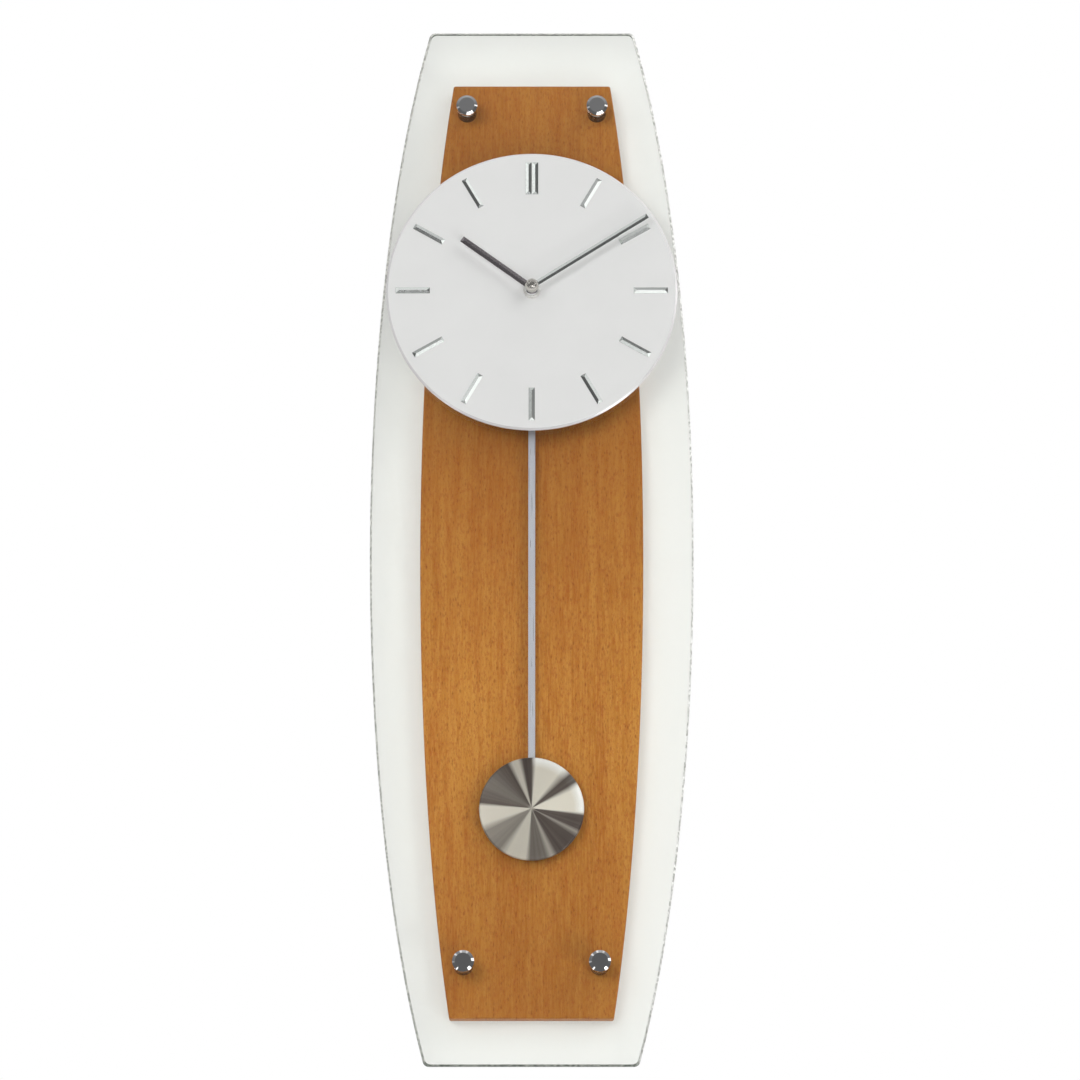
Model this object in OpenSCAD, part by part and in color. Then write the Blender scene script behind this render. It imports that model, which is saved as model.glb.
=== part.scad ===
// Radio controlled pendulum wall clock, in millimetres.
// The origin is the centre of the keyhole's entry hole, in the plane of the wall.
// +Z is up and -Y is the front, so the wall is the plane y = 0.
// A clear glass plate stands in front of a wooden panel on four standoffs. The dial is fixed
// to the front of the glass by the movement's centre nut, and the pendulum swings between
// the glass and the wood.

/* [Glass plate] */
// Height of the glass
glass_h = 700; // [620:10:860]
// Width of the glass at mid height, where it is widest
glass_w = 211; // [176:1:254]
// Width of the glass across its top and bottom ends
glass_end_w = 136; // [113:1:164]
// Thickness of the glass
glass_t = 4; // [3:0.5:6]
// Radius of the glass corners
glass_corner = 4; // [2:0.5:8]
// Width of the ground bevel on the glass edges
glass_bevel = 1.2; // [0.6:0.1:1.4]

/* [Wooden panel] */
// Height of the wooden panel
wood_h = 634; // [528:2:762]
// Width of the wooden panel at mid height
wood_w = 146; // [121:1:176]
// Width of the wooden panel across its ends
wood_end_w = 105; // [96:1:120]
// Thickness of the wooden panel
wood_t = 10; // [8:0.5:14]
// Easing of the panel's edges
wood_edge = 0.8; // [0.3:0.1:1.5]
// Clear depth between the wood and the glass, in which the pendulum swings
pendulum_gap = 11; // [10.5:0.5:16]

/* [Standoffs] */
// Diameter of the standoff caps in front of the glass
standoff_d = 14; // [12:0.5:18]
// Diameter of the standoff barrels between the glass and the wood
barrel_d = 12.6; // [10.5:0.1:14]
// Thickness of a cap in front of the glass
cap_t = 3.5; // [2.5:0.5:6]
// Width of the bevel round the face of a cap
cap_bevel_w = 1.8; // [0.8:0.1:2.2]
// Depth of the bevel round the face of a cap
cap_bevel_d = 1.1; // [0.5:0.1:1.5]
// Distance between the left and right standoffs
standoff_spread = 87; // [73:1:96]
// Distance from the top edge of the wood to the upper standoffs
standoff_top = 20; // [14:1:26]
// Distance from the bottom edge of the wood to the lower standoffs
standoff_bottom = 34; // [16:1:60]
// Diameter of the standoff's stud and of its screw
stud_d = 4; // [3:0.5:5]
// Diameter of the holes in the glass for the studs
glass_hole_d = 8; // [7:0.5:10]
// Thickness of the soft grommet between metal and glass
grommet_t = 0.5; // [0.3:0.1:1]

/* [Dial] */
// Diameter of the dial
dial_d = 192.6; // [160:0.2:232]
// Thickness of the dial
dial_t = 2; // [1.5:0.1:3]
// Width of the bright bevel round the dial
dial_bevel_w = 1.3; // [0.6:0.1:2]
// Depth of the bright bevel round the dial
dial_bevel_d = 0.9; // [0.4:0.1:1.2]
// Gap between the glass and the dial
dial_gap = 2; // [1:0.5:4]
// Distance from the top edge of the wood down to the hand shaft
shaft_drop = 151; // [138:1:182]
// Length of an hour marker
marker_len = 22.5; // [14:0.5:28]
// Width of an hour marker
marker_w = 4; // [2:0.1:5]
// Height of an hour marker
marker_h = 1; // [0.6:0.1:1.6]
// Distance from the dial's edge to the outer end of a marker
marker_inset = 6.4; // [3:0.1:10]
// Gap between the two markers at twelve
marker_pair_gap = 0.4; // [0.2:0.1:2]

/* [Hands] */
// Length of the hour hand from the shaft
hour_len = 57.5; // [44:1:69]
// Width of the hour hand
hour_w = 4.2; // [3:0.1:6]
// Angle of the hour hand at rest, clockwise from twelve
hour_angle = 306.4; // [0:0.1:360]
// Length of the minute hand from the shaft
minute_len = 91; // [76:0.5:94]
// Width of the minute hand
minute_w = 3.4; // [2:0.1:5]
// Angle of the minute hand at rest, clockwise from twelve
minute_angle = 57.2; // [0:0.1:360]
// Height of a hand's ridge above its back
hand_t = 0.9; // [0.6:0.1:1.4]
// Height of the side edges as a share of the ridge, on the hour hand and the markers
steep_edge = 0.25; // [0.1:0.05:0.6]
// The same share on the flatter minute hand
flat_edge = 0.5; // [0.1:0.05:0.7]
// Diameter of the domed cap nut
cap_nut_d = 9; // [8:0.5:12]
// Height of the domed cap nut
cap_nut_h = 5.6; // [5:0.1:8]

/* [Movement] */
// Width of the movement case
case_w = 60; // [58:1:72]
// Height of the case above the hand shaft
case_up = 32; // [32:0.5:38]
// Height of the case below the hand shaft
case_down = 56; // [56:1:68]
// Thickness of the movement case
case_t = 20; // [20:0.1:20.5]
// Wall of the movement case
case_wall = 1.5; // [1.2:0.1:1.6]
// Diameter of the threaded bush that carries the dial
bush_d = 8; // [7.5:0.1:9]
// Thickness of the dial nut
nut_t = 3; // [2:0.1:4]

/* [Battery] */
// Diameter of the battery cell
battery_d = 14.2; // [13.8:0.1:14.4]
// Length of the battery cell with its nub
battery_len = 50.5; // [49:0.1:51]

/* [Pendulum] */
// Distance from the hand shaft down to the pendulum's pivot
pivot_drop = 24.5; // [24:0.5:27]
// Distance from the hand shaft down to the middle of the bob
bob_drop = 348; // [290:1:418]
// Diameter of the bob
bob_d = 67.6; // [56:0.2:82]
// Thickness of the bob
bob_t = 3.2; // [2.6:0.1:3.4]
// Width of the pendulum rod
rod_w = 4.5; // [3.5:0.1:5.5]
// Thickness of the pendulum rod
rod_t = 1.2; // [0.8:0.1:1.4]
// Greatest swing to each side, where the lever meets its bay
swing_deg = 6; // [3:0.5:7]

/* [Wall hanger] */
// Distance from the top edge of the wood down to the keyhole
hanger_drop = 57; // [45:1:66]
// Width of the hanger plate
hanger_w = 40; // [34:1:50]
// Height of the hanger plate
hanger_h = 42; // [38:1:50]
// Thickness of the hanger plate and of the wall pads
hanger_t = 1.5; // [1.2:0.1:2]
// Diameter of the keyhole's entry hole
keyhole_d = 9; // [8:0.1:10]
// Width of the keyhole's slot
keyhole_slot = 4.5; // [4:0.1:5]
// Rise of the keyhole's slot above the entry hole
keyhole_rise = 10; // [8:0.5:12]
// Depth of the pocket in the wood behind the keyhole
pocket_depth = 6; // [4.5:0.5:6.5]
// Diameter of a wall pad
pad_d = 18; // [12:1:24]

/* [Hidden] */

$fn = 72;
// Overshoot of a cut past the face that it goes through
past = 1;
// Radial clearance of a turning or sliding fit
running_gap = 0.06;
// Radial clearance of a fixed fit
fixed_gap = 0.02;

// Depths of the layers from the wall to the front of the glass
wood_back = -hanger_t;
wood_front = wood_back - wood_t;
glass_back = wood_front - pendulum_gap;
glass_front = glass_back - glass_t;
dial_back = glass_front - dial_gap;
dial_front = dial_back - dial_t;
gap_middle = (glass_back + wood_front) / 2;
// Chamfer on the edges of the standoff barrels
barrel_edge = 0.4;

// Heights: the keyhole is the origin, and the glass is centred on the wood
wood_top = hanger_drop;
wood_bottom = wood_top - wood_h;
panel_middle = (wood_top + wood_bottom) / 2;
shaft_z = wood_top - shaft_drop;
// The standoffs go through both plates, so their heights are set from the shorter one
shared_top = min(wood_top, panel_middle + glass_h / 2);
shared_bottom = max(wood_bottom, panel_middle - glass_h / 2);
standoff_places = [
    for (side = [-1, 1])
        for (z = [shared_top - standoff_top, shared_bottom + standoff_bottom])
            [side * standoff_spread / 2, z]
];

// Segments along each curved side of the glass and the wood, and round each corner
side_steps = 44;
corner_steps = 6;

// Movement case: depths
gasket_t = 0.5;
case_front = glass_back + gasket_t;
case_back = case_front + case_t;
case_floor = case_front + case_wall;
cover_t = 1.5;
cover_front = case_back - cover_t;
case_corner = 3;
case_fit = 1;

// Movement case: heights and widths, measured from the hand shaft
inner_half = case_w / 2 - case_wall;
rib_t = 1.2;
battery_bay_h = battery_d + 1.6;
battery_bay_top = case_up - case_wall;
battery_bay_bottom = battery_bay_top - battery_bay_h;
battery_z = battery_bay_bottom + battery_bay_h / 2;
train_top = battery_bay_bottom - rib_t;
train_bottom = -18;
lower_top = train_bottom - rib_t;
lower_bottom = -case_down + case_wall;
// The bay's back keeps clear of the magnet on the lever, which hangs amid the gap
drive_magnet_t = 2.2;
magnet_gap = 0.8;
bay_back = gap_middle + drive_magnet_t + magnet_gap;
lower_front = bay_back + rib_t;

// Hand shaft and dial fixing, from the back to the front
bush_bore_r = 2.28;
bush_flange_r = 6.5;
bush_flange_t = 1;
bush_tip = dial_front - nut_t - 0.5;
nut_across = 10;
nut_chamfer = 0.2;
nut_washer_r = 5.7;
nut_washer_t = 0.6;
pipe_r = bush_bore_r - running_gap - fixed_gap;
arbor_r = 1;
pipe_bore_r = arbor_r + running_gap + fixed_gap;
hub_gap = 2;
hour_back = bush_tip - hub_gap;
hour_front = hour_back - hand_t;
minute_back = hour_front - hub_gap;
minute_front = minute_back - hand_t;
hour_boss_r = 3.6;
minute_boss_r = 3.2;
arbor_tip = minute_front - 3;

// Gear train, from the front of the case towards its back
motion_size = 0.40;
hour_size = 0.384;
centre_size = 0.35;
third_size = 0.30;
cannon_teeth = 12;
minute_wheel_teeth = 36;
minute_pinion_teeth = 10;
hour_wheel_teeth = 40;
centre_teeth = 60;
third_pinion_teeth = 8;
third_teeth = 64;
rotor_teeth = 8;
// Corners of one tooth: [height over the pitch circle in tooth sizes, share of a pitch]
tooth_corners = [[-1.15, -0.33], [0.9, -0.11], [0.9, 0.11], [-1.15, 0.33]];
wheel_t = 0.8;
// Rim, arms and middle ring of a wheel that is cut open between its arms
wheel_rim = 1.3;
wheel_arm_w = 1.5;
wheel_ring = 1.1;
hour_wheel_front = case_floor + 0.3;
hour_wheel_back = hour_wheel_front + wheel_t;
minute_pinion_front = case_floor + 0.2;
minute_wheel_front = case_floor + 1.8;
minute_wheel_back = minute_wheel_front + wheel_t;
cannon_front = minute_wheel_front - 0.2;
cannon_back = minute_wheel_back + 0.2;
centre_wheel_front = case_floor + 3.9;
centre_wheel_back = centre_wheel_front + wheel_t;
centre_hub_r = 2.2;
third_pinion_front = centre_wheel_front - 0.4;
third_pinion_back = centre_wheel_back + 0.6;
third_wheel_front = case_floor + 5.9;
third_wheel_back = third_wheel_front + wheel_t;
rotor_pinion_front = third_wheel_front - 0.4;
rotor_pinion_back = third_wheel_back + 0.4;
bridge_front = case_floor + 7.9;
bridge_t = 1.2;
bridge_back = bridge_front + bridge_t;
bridge_boss_r = 1.7;
stem_r = 0.6;
pivot_r = 0.4;
pivot_bore_r = pivot_r + running_gap;
pivot_depth = 0.8;

// Places of the arbors beside the hand shaft: [x, z]
minute_wheel_place = [-(cannon_teeth + minute_wheel_teeth) * motion_size / 2, 0];
third_place = [(centre_teeth + third_pinion_teeth) * centre_size / 2, 0];
rotor_bearing = -40;
rotor_reach = (third_teeth + rotor_teeth) * third_size / 2;
rotor_place = third_place + rotor_reach * [cos(rotor_bearing), sin(rotor_bearing)];

// Stepping motor
magnet_r = 3;
magnet_front = bridge_back + 0.8;
magnet_back = magnet_front + 3.2;
stator_front = magnet_front + 1.1;
stator_t = 1;
stator_hole_r = 3.4;
stator_ring_r = 6;
stator_bar_w = 5;
stator_leg_w = 3.2;
stator_left = -1;
core_z = -14.8;
core_w = 2.2;
motor_coil_r = 3;
motor_coil_from = stator_left + stator_leg_w + 1.4;
motor_coil_to = rotor_place[0] - stator_bar_w / 2 - 1.4;

// Circuit board, switches and buttons
board_t = 1;
board_front = case_back - 6;
board_back = board_front + board_t;
board_left = -inner_half + 0.3;
board_right = -4;
board_top = train_top - 0.5;
board_bottom = train_bottom + 0.5;
switch_w = 4.5;
switch_h = 1.3;
button_r = 1.9;
button_flange_r = 2.6;
button_proud = 0.6;
button_travel = 0.6;
button_z = 6;
set_button_x = -22;
receive_button_x = -14.5;
reset_button_x = -7;

// Posts for the small screws: [x, z]
screw_post_r = 2;
bridge_posts = [[-15, 9], [-15, -9], [24, 9]];
board_posts = [[-inner_half + 3, -15], [-inner_half + 3, 9.5], [-7, -15]];
cover_posts = [
    [-inner_half + 2.5, lower_bottom + 2.5],
    [inner_half - 2.5, lower_bottom + 2.5],
    [inner_half - 2.5, -15.5]
];
small_screw_r = 0.8;
small_head_r = 1.6;
small_head_t = 0.9;
small_screw_len = 5;

// Radio antenna and the pendulum's drive coil
ferrite_r = 2.6;
ferrite_half = 21;
ferrite_z = lower_bottom + 6;
ferrite_y = (lower_front + cover_front) / 2;
winding_r = 3.8;
winding_half = 12;
saddle_x = 16.5;
drive_z = -36;
drive_coil_r = 6.5;
drive_bore_r = 2.5;
drive_coil_t = 3;

// Battery contacts
nub_r = 2.6;
nub_t = 1.3;
cell_roll = 0.6;
cell_disc_t = 0.3;
contact_t = 0.4;
contact_w = 9;

// Pendulum
lever_t = 2;
lever_back = gap_middle;
lever_front = lever_back - lever_t;
lever_top_half = 4.5;
lever_foot_half = 3.5;
lever_foot_z = -case_down - 8;
lever_boss_r = 3.4;
lever_side_gap = 0.4;
pin_r = 0.8;
stop_gap = 0.3;
lever_exit_half = lever_top_half
    - (lever_top_half - lever_foot_half) * (case_down - pivot_drop)
    / (-lever_foot_z - pivot_drop);
bay_half = lever_exit_half / cos(swing_deg)
    + (case_down - pivot_drop) * tan(swing_deg) + stop_gap;
peg_r = 1;
peg_lip_r = 1.5;
peg_lip_t = 0.5;
peg_z = lever_foot_z + 2;
rod_front = gap_middle;
rod_back = rod_front + rod_t;
rod_head_w = 8;
rod_head_h = 13;
rod_end_z = -bob_drop - bob_d / 2 + 6;
drive_magnet_r = 4;
bob_front = rod_front - bob_t;
bob_rim = 1.2;
bob_shell = 0.6;
bob_dome = 0.7;
clip_w = 16;
clip_h = 22;
clip_t = 0.8;

// Wall hanger
pocket_r = 6;
pocket_reach = keyhole_rise + 1;
hanger_screw_r = 1.5;
hanger_head_r = 3;
hanger_screw_len = 8;
hanger_rise = (keyhole_rise - 2) / 2 + 1;
hanger_holes = [
    for (side = [-1, 1])
        for (up = [-1, 1])
            [side * (hanger_w / 2 - 5), hanger_rise + up * (hanger_h / 2 - 5)]
];
pad_inset = 15;
pad_x = 28;
countersink_r = 4;

// Shapes drawn in X and Z, spread in depth from a front to a back
module slab(front, back) {
    translate([0, back, 0])
        rotate([90, 0, 0])
            linear_extrude(back - front)
                children();
}

// A round bar along the depth
module post(r, front, back) {
    translate([0, back, 0])
        rotate([90, 0, 0])
            cylinder(r = r, h = back - front);
}

// A straight cone along the depth
module cone(front_r, back_r, front, back) {
    translate([0, back, 0])
        rotate([90, 0, 0])
            cylinder(r1 = back_r, r2 = front_r, h = back - front);
}

// A body turned about the depth axis from points [radius, depth]
module turned(profile) {
    rotate([90, 0, 0])
        rotate_extrude()
            polygon([for (p = profile) [p[0], -p[1]]]);
}

// A body turned about an axis across the clock, along X, from points [radius, x]
module turned_across(profile) {
    rotate([0, 90, 0])
        rotate_extrude()
            polygon(profile);
}

// A round bar across the clock, along X
module cross_bar(r, left, right) {
    translate([left, 0, 0])
        rotate([0, 90, 0])
            cylinder(r = r, h = right - left);
}

module at(place) {
    translate([place[0], 0, place[1]])
        children();
}

module at_shaft() {
    translate([0, 0, shaft_z])
        children();
}

// Turns what is drawn pointing up to an angle clockwise from twelve
module clockwise(angle) {
    rotate([0, angle, 0])
        children();
}

module round_rect(w, h, r) {
    square([w - 2 * r, h], center = true);
    square([w, h - 2 * r], center = true);
    for (x = [-1, 1])
        for (y = [-1, 1])
            translate([x * (w / 2 - r), y * (h / 2 - r)])
                circle(r);
}

// A rectangle given by its left, right, bottom and top
module span_rect(left, right, bottom, top) {
    translate([left, bottom])
        square([right - left, top - bottom]);
}

// Half width of a barrel-shaped plate at a height over its middle
function barrel_half(z, w, end_w, h) =
    w / 2 * sqrt(1 - (1 - pow(end_w / w, 2)) * pow(2 * z / h, 2));

// Lean of the curved side at its end, away from upright
function barrel_lean(w, end_w, h) =
    atan((pow(w / 2, 2) - pow(end_w / 2, 2)) / (h / 2 * end_w / 2));

// Upper right quarter of the plate: the curved side, then the rounded corner
function barrel_quarter(w, end_w, h, corner) =
    let (
        lean = barrel_lean(w, end_w, h),
        side_top = h / 2 - corner * (1 - sin(lean)),
        side_half = barrel_half(side_top, w, end_w, h),
        middle = [side_half - corner * cos(lean), h / 2 - corner]
    )
    concat(
        [
            for (i = [0:side_steps])
                let (z = side_top * i / side_steps)
                [barrel_half(z, w, end_w, h), z]
        ],
        [
            for (i = [1:corner_steps])
                let (a = lean + (90 - lean) * i / corner_steps)
                middle + corner * [cos(a), sin(a)]
        ]
    );

function reversed(points) = [for (i = [len(points) - 1:-1:0]) points[i]];

// Whole outline: the quarter mirrored to the four corners, with no point twice
function barrel(w, end_w, h, corner) =
    let (
        quarter = barrel_quarter(w, end_w, h, corner),
        last = len(quarter) - 1
    )
    concat(
        quarter,
        reversed([for (i = [1:last]) [-quarter[i][0], quarter[i][1]]]),
        [for (p = quarter) [-p[0], -p[1]]],
        reversed([for (i = [1:last]) [quarter[i][0], -quarter[i][1]]])
    );

// A barrel-shaped plate with a bevel on both faces
module barrel_plate(w, end_w, h, corner, bevel, front, back) {
    hull() {
        slab(front + bevel, back - bevel)
            polygon(barrel(w, end_w, h, corner));
        slab(front, back)
            polygon(barrel(w - 2 * bevel, end_w - 2 * bevel, h - 2 * bevel, corner));
    }
}

// A bar with a ridge along its middle and hipped ends, standing on the plane y = back
module ridged_bar(w, len, height, edge_share, back, from) {
    shoulder = height * edge_share;
    intersection() {
        translate([0, 0, from])
            linear_extrude(len)
                polygon([
                    [-w / 2, back],
                    [-w / 2, back - shoulder],
                    [0, back - height],
                    [w / 2, back - shoulder],
                    [w / 2, back]
                ]);
        rotate([90, 0, 90])
            translate([0, 0, -w])
                linear_extrude(2 * w)
                    polygon([
                        [back, from],
                        [back - shoulder, from],
                        [back - height, from + w / 2],
                        [back - height, from + len - w / 2],
                        [back - shoulder, from + len],
                        [back, from + len]
                    ]);
    }
}

function gear_points(teeth, size) = [
    for (i = [0:teeth - 1])
        for (corner = tooth_corners)
            let (
                r = size * (teeth / 2 + corner[0]),
                a = 360 / teeth * (i + corner[1])
            )
            [r * cos(a), r * sin(a)]
];

module gear(teeth, size, turn, front, back) {
    slab(front, back)
        rotate(turn)
            polygon(gear_points(teeth, size));
}

// Radius of a gear at the foot and at the tip of its teeth
function foot_radius(teeth, size) = size * (teeth / 2 + tooth_corners[0][0]);
function tip_radius(teeth, size) = size * (teeth / 2 + tooth_corners[1][0]);

// Openings between the arms of a wheel, from the ring round its middle to its rim
module crossings(arms, middle_r, teeth, size, front, back) {
    slab(front - past, back + past)
        difference() {
            circle(foot_radius(teeth, size) - wheel_rim);
            circle(middle_r + wheel_ring);
            for (i = [0:arms - 1])
                rotate(360 / arms * i)
                    translate([0, -wheel_arm_w / 2])
                        square([teeth * size, wheel_arm_w]);
        }
}

// Turn that brings a gap of a driven gear onto the tooth at this bearing
function meshed(bearing, teeth) = bearing + 180 + 180 / teeth;

// Glass and wood

module glass_plate() {
    color("honeydew", 0.4)
        difference() {
            translate([0, 0, panel_middle])
                barrel_plate(glass_w, glass_end_w, glass_h, glass_corner, glass_bevel,
                    glass_front, glass_back);
            for (place = standoff_places)
                at(place)
                    post(glass_hole_d / 2, glass_front - past, glass_back + past);
            at_shaft()
                post(bush_d / 2 + 0.5, glass_front - past, glass_back + past);
        }
}

module wood_panel() {
    color("peru")
        difference() {
            translate([0, 0, panel_middle])
                barrel_plate(wood_w, wood_end_w, wood_h, 1.5, wood_edge,
                    wood_front, wood_back);
            // Cut-out for the movement, hidden behind the dial
            at_shaft()
                slab(wood_front - past, wood_back + past)
                    translate([0, (case_up - case_down) / 2])
                        round_rect(case_w + 2 * case_fit,
                            case_up + case_down + 2 * case_fit, case_corner + case_fit);
            for (place = standoff_places)
                at(place) {
                    post(stud_d / 2 + 0.15, wood_front - past, wood_back + past);
                    cone(stud_d / 2 + 0.15, countersink_r, wood_back - 2.2, wood_back);
                }
            keyhole_pocket();
            for (place = hanger_holes)
                at(place)
                    post(hanger_screw_r + fixed_gap,
                        wood_back - hanger_screw_len, wood_back + past);
        }
}

// Pocket behind the keyhole, in which the head of the wall screw slides up
module keyhole_pocket() {
    slab(wood_back - pocket_depth, wood_back + past) {
        circle(pocket_r);
        translate([0, pocket_reach])
            circle(pocket_r);
        translate([-pocket_r, 0])
            square([2 * pocket_r, pocket_reach]);
    }
}

// Standoffs

module standoff_barrels() {
    color("silver")
        for (place = standoff_places)
            at(place)
                turned([
                    [stud_d / 2 + fixed_gap, wood_front],
                    [barrel_d / 2 - barrel_edge, wood_front],
                    [barrel_d / 2, wood_front - barrel_edge],
                    [barrel_d / 2, glass_back + grommet_t + barrel_edge],
                    [barrel_d / 2 - barrel_edge, glass_back + grommet_t],
                    [stud_d / 2 + fixed_gap, glass_back + grommet_t]
                ]);
}

module standoff_caps() {
    cap_back = glass_front - grommet_t;
    color("silver")
        for (place = standoff_places)
            at(place)
                turned([
                    [0, cap_back - cap_t],
                    [standoff_d / 2 - cap_bevel_w, cap_back - cap_t],
                    [standoff_d / 2, cap_back - cap_t + cap_bevel_d],
                    [standoff_d / 2, cap_back - 0.3],
                    [standoff_d / 2 - 0.3, cap_back],
                    [stud_d / 2, cap_back],
                    [stud_d / 2, glass_back + 5],
                    [0, glass_back + 5]
                ]);
}

// Soft grommets between the metal and the glass
module glass_grommets() {
    bore = stud_d / 2 + fixed_gap;
    lip = barrel_d / 2 - barrel_edge;
    color("gainsboro")
        for (place = standoff_places)
            at(place)
                turned([
                    [bore, glass_front - grommet_t],
                    [lip, glass_front - grommet_t],
                    [lip, glass_front],
                    [glass_hole_d / 2 - fixed_gap, glass_front],
                    [glass_hole_d / 2 - fixed_gap, glass_back],
                    [lip, glass_back],
                    [lip, glass_back + grommet_t],
                    [bore, glass_back + grommet_t]
                ]);
}

// Countersunk screws through the wood into the barrels
module standoff_screws() {
    color("gray")
        for (place = standoff_places)
            at(place)
                difference() {
                    turned([
                        [0, wood_front - 4.5],
                        [stud_d / 2, wood_front - 4.5],
                        [stud_d / 2, wood_back - 2.2],
                        [countersink_r - 0.15, wood_back - 0.1],
                        [0, wood_back - 0.1]
                    ]);
                    slab(wood_back - 1.3, wood_back)
                        cross_slot(4.4, 0.8);
                }
}

module cross_slot(len, w) {
    square([len, w], center = true);
    square([w, len], center = true);
}

// Wall hanger and pads

module hanger_plate() {
    color("lightsteelblue")
        difference() {
            slab(wood_back, 0)
                translate([0, hanger_rise])
                    round_rect(hanger_w, hanger_h, 3);
            post(keyhole_d / 2, wood_back - past, past);
            at([0, keyhole_rise])
                post(keyhole_slot / 2, wood_back - past, past);
            slab(wood_back - past, past)
                translate([-keyhole_slot / 2, 0])
                    square([keyhole_slot, keyhole_rise]);
            for (place = hanger_holes)
                at(place) {
                    post(hanger_screw_r + 0.1, wood_back - past, past);
                    cone(hanger_screw_r + 0.1, hanger_head_r, wood_back, 0);
                }
        }
}

module hanger_screws() {
    color("gray")
        for (place = hanger_holes)
            at(place)
                difference() {
                    turned([
                        [0, wood_back - hanger_screw_len + 0.5],
                        [hanger_screw_r, wood_back - hanger_screw_len + 2.5],
                        [hanger_screw_r, wood_back],
                        [hanger_head_r - 0.1, 0],
                        [0, 0]
                    ]);
                    slab(-0.8, past)
                        cross_slot(3, 0.6);
                }
}

// Felt pads that keep the panel off the wall
module wall_pads() {
    color("darkgray")
        for (side = [-1, 1])
            for (z = [wood_top - pad_inset, wood_bottom + pad_inset])
                at([side * pad_x, z])
                    post(pad_d / 2, wood_back, 0);
}

// Dial

module dial() {
    color("whitesmoke")
        at_shaft()
            turned([
                [bush_d / 2 + 0.15, dial_back],
                [dial_d / 2, dial_back],
                [dial_d / 2, dial_front + dial_bevel_d],
                [dial_d / 2 - dial_bevel_w, dial_front],
                [bush_d / 2 + 0.15, dial_front]
            ]);
}

module hour_marker() {
    ridged_bar(marker_w, marker_len, marker_h, steep_edge, dial_front,
        dial_d / 2 - marker_inset - marker_len);
}

// One bar at each hour and a pair at twelve
module hour_markers() {
    pair_shift = (marker_w + marker_pair_gap) / 2;
    color("silver")
        at_shaft() {
            for (hour = [1:11])
                clockwise(hour * 30)
                    hour_marker();
            for (side = [-1, 1])
                translate([side * pair_shift, 0, 0])
                    hour_marker();
        }
}

module dial_spacer() {
    color("white")
        at_shaft()
            turned([
                [bush_d / 2 + 0.15, dial_back],
                [9, dial_back],
                [9, glass_front],
                [bush_d / 2 + 0.15, glass_front]
            ]);
}

// Hexagon nut with a washer face, on the threaded bush
module dial_nut() {
    nut_front = dial_front - nut_t;
    corner_r = nut_across / 2 / cos(30) + nut_chamfer;
    color("silver")
        at_shaft()
            difference() {
                union() {
                    post(nut_washer_r, dial_front - nut_washer_t, dial_front);
                    intersection() {
                        translate([0, dial_front, 0])
                            rotate([90, 0, 0])
                                cylinder(d = nut_across / cos(30), h = nut_t, $fn = 6);
                        turned([
                            [0, nut_front],
                            [nut_across / 2 - nut_chamfer, nut_front],
                            [corner_r, nut_front
                                + (corner_r - nut_across / 2 + nut_chamfer) * tan(30)],
                            [corner_r, dial_front],
                            [0, dial_front]
                        ]);
                    }
                }
                post(bush_d / 2 + fixed_gap, dial_front - nut_t - past, dial_front + past);
            }
}

module glass_gasket() {
    color("dimgray")
        at_shaft()
            turned([
                [bush_d / 2 + 1, glass_back],
                [13, glass_back],
                [13, case_front],
                [bush_d / 2 + 1, case_front]
            ]);
}

module threaded_bush() {
    flange_back = case_floor;
    color("goldenrod")
        at_shaft()
            turned([
                [bush_bore_r, bush_tip],
                [bush_d / 2 - 0.4, bush_tip],
                [bush_d / 2, bush_tip + 0.4],
                [bush_d / 2, flange_back - bush_flange_t],
                [bush_flange_r, flange_back - bush_flange_t],
                [bush_flange_r, flange_back],
                [bush_bore_r, flange_back]
            ]);
}

// Movement case, open at the back, with bays for the battery, the train,
// the radio receiver and, open below, the pendulum's lever
module movement_case() {
    color("dimgray")
        at_shaft() {
            difference() {
                slab(case_front, case_back)
                    translate([0, (case_up - case_down) / 2])
                        round_rect(case_w, case_up + case_down, case_corner);
                slab(case_floor, case_back + past) {
                    span_rect(-inner_half, inner_half, battery_bay_bottom, battery_bay_top);
                    span_rect(-inner_half, inner_half, train_bottom, train_top);
                }
                slab(lower_front, case_back + past)
                    span_rect(-inner_half, inner_half, lower_bottom, lower_top);
                // Seat of the cover, over the train and the receiver
                slab(cover_front, case_back + past)
                    span_rect(-inner_half, inner_half, lower_bottom, train_top);
                slab(case_floor, bay_back)
                    span_rect(-bay_half, bay_half, -case_down - past, lower_top);
                post(bush_d / 2 + fixed_gap, case_front - past, case_floor + past);
                post(bush_flange_r + fixed_gap, case_floor - bush_flange_t,
                    case_floor + past);
                pivot_holes();
            }
            screw_posts();
            antenna_saddles();
            battery_cradle();
        }
}

// Blind bearings in the floor of the case, and the pendulum pin's seats
module pivot_holes() {
    for (place = [third_place, rotor_place])
        at(place)
            post(pivot_bore_r, case_floor - pivot_depth - 0.1, case_floor + past);
    at(minute_wheel_place)
        post(0.5 + fixed_gap, case_floor - pivot_depth - 0.1, case_floor + past);
    at([0, -pivot_drop])
        post(pin_r + fixed_gap, case_floor - pivot_depth, lower_front - 0.4);
}

module screw_posts() {
    for (place = bridge_posts)
        screw_post(place, case_floor, bridge_front);
    for (place = board_posts)
        screw_post(place, case_floor, board_front);
    for (place = [cover_posts[0], cover_posts[1]])
        screw_post(place, lower_front, cover_front);
    screw_post(cover_posts[2], case_floor, cover_front);
}

module screw_post(place, front, back) {
    at(place)
        difference() {
            post(screw_post_r, front, back);
            post(small_screw_r + fixed_gap, back - small_screw_len, back + past);
        }
}

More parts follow.
